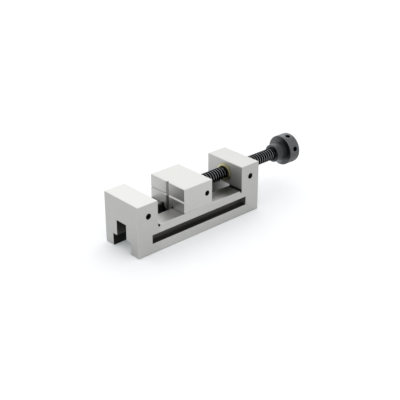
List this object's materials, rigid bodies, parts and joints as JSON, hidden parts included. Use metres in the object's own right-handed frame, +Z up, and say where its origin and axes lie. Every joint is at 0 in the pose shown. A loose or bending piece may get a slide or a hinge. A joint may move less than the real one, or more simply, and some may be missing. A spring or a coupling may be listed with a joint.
{
  "type": "precision vise",
  "caption": "Ground steel toolmaker's vise with a screw-driven moving jaw, a T-slot base, side clamping slots and a round tommy-bar knob.",
  "frame": {"origin": "centre of the bottom of the bounding box, on the plane the vise stands on, mid-width and half way along its overall length with the jaw open 41 mm", "axes": "+X along the vise from the fixed jaw to the knob, +Y across it, +Z up"},
  "size_m": [0.2886, 0.063, 0.0715],
  "materials": {
    "ground_steel": "hardened and surface ground, fine lay, broken edges",
    "black_screw": "black oxide, machined",
    "grey_screw": "worn oxide, machined",
    "black_oxide": "black oxide, turned thread, oiled",
    "grey_oxide": "dark grey oxide, turned, satin",
    "hardened_steel": "hardened, polished",
    "brass": "turned brass, dulled"
  },
  "bodies": {
    "base": {"vise_body": "ground_steel", "spindle_nut": "brass", "nut_lock_screw_near": "grey_screw", "nut_lock_screw_far": "grey_screw"},
    "jaw": {"moving_jaw": "ground_steel", "keeper_plate": "ground_steel", "keeper_screw_front": "black_screw", "keeper_screw_rear": "black_screw", "retaining_screw_near": "black_screw", "retaining_screw_far": "black_screw", "thrust_disc": "hardened_steel"},
    "spindle": {"lead_screw": "black_oxide", "thrust_ball": "hardened_steel", "knob": "grey_oxide", "knob_drive_pin": "hardened_steel", "knob_washer": "black_screw", "knob_screw": "black_screw"}
  },
  "joints": [
    {"name": "jaw_slide", "type": "slide", "parent": "base", "child": "jaw", "axis": [1, 0, 0], "range_m": [-0.0409, 0.0475]},
    {"name": "spindle_turn", "type": "hinge", "parent": "jaw", "child": "spindle", "pos_m": [0, 0, 0.0513], "axis": [1, 0, 0], "range_deg": [-3682, 4276]}
  ],
  "couplings": [
    {"joint": "spindle_turn", "follows": "jaw_slide", "rad_per_m": 1570.8}
  ]
}
